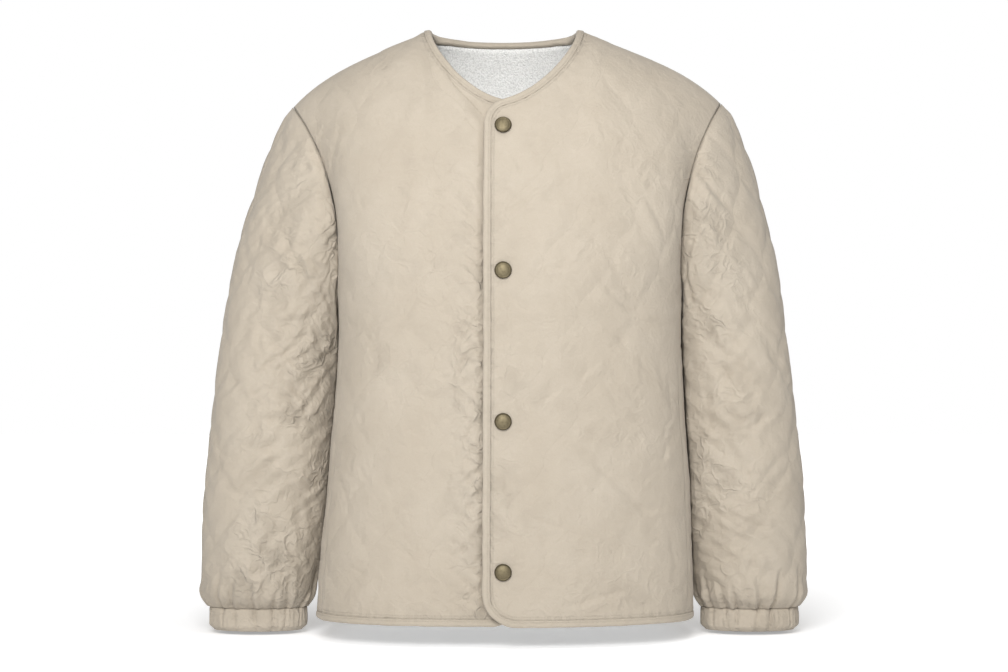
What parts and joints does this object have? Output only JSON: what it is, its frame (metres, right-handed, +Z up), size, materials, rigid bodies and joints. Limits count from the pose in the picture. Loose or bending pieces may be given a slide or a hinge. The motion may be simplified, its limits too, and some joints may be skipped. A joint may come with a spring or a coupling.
{
  "type": "quilted jacket",
  "caption": "Collarless quilted jacket in its worn, hollow form: bound edges, snap front, set-in sleeves with gathered cuffs, fleece-lined back.",
  "frame": {"origin": "middle of the neck opening, level with the points where the shoulder seams meet the neck; the wearer holds the jacket up there", "axes": "+Z up, the front faces -Y, +X to the wearer's left"},
  "size_m": [0.6784, 0.3013, 0.6727],
  "materials": {
    "quilted_cotton": "quilted plain weave, matt",
    "binding_cotton": "folded plain weave tape, topstitched, matt",
    "cuff_cotton": "gathered plain weave, matt",
    "fleece": "curly pile",
    "antique_brass": "domed caps, dull antique"
  },
  "bodies": {
    "root": {"front_left": "quilted_cotton", "front_right": "quilted_cotton", "back": "quilted_cotton", "lining_back": "fleece", "binding_front_left": "binding_cotton", "binding_front_right": "binding_cotton", "binding_neck_back": "binding_cotton", "binding_hem_back": "binding_cotton", "sleeve_left": "quilted_cotton", "cuff_left": "cuff_cotton", "sleeve_right": "quilted_cotton", "cuff_right": "cuff_cotton", "snap_1": "antique_brass", "snap_2": "antique_brass", "snap_3": "antique_brass", "snap_4": "antique_brass"}
  },
  "joints": []
}
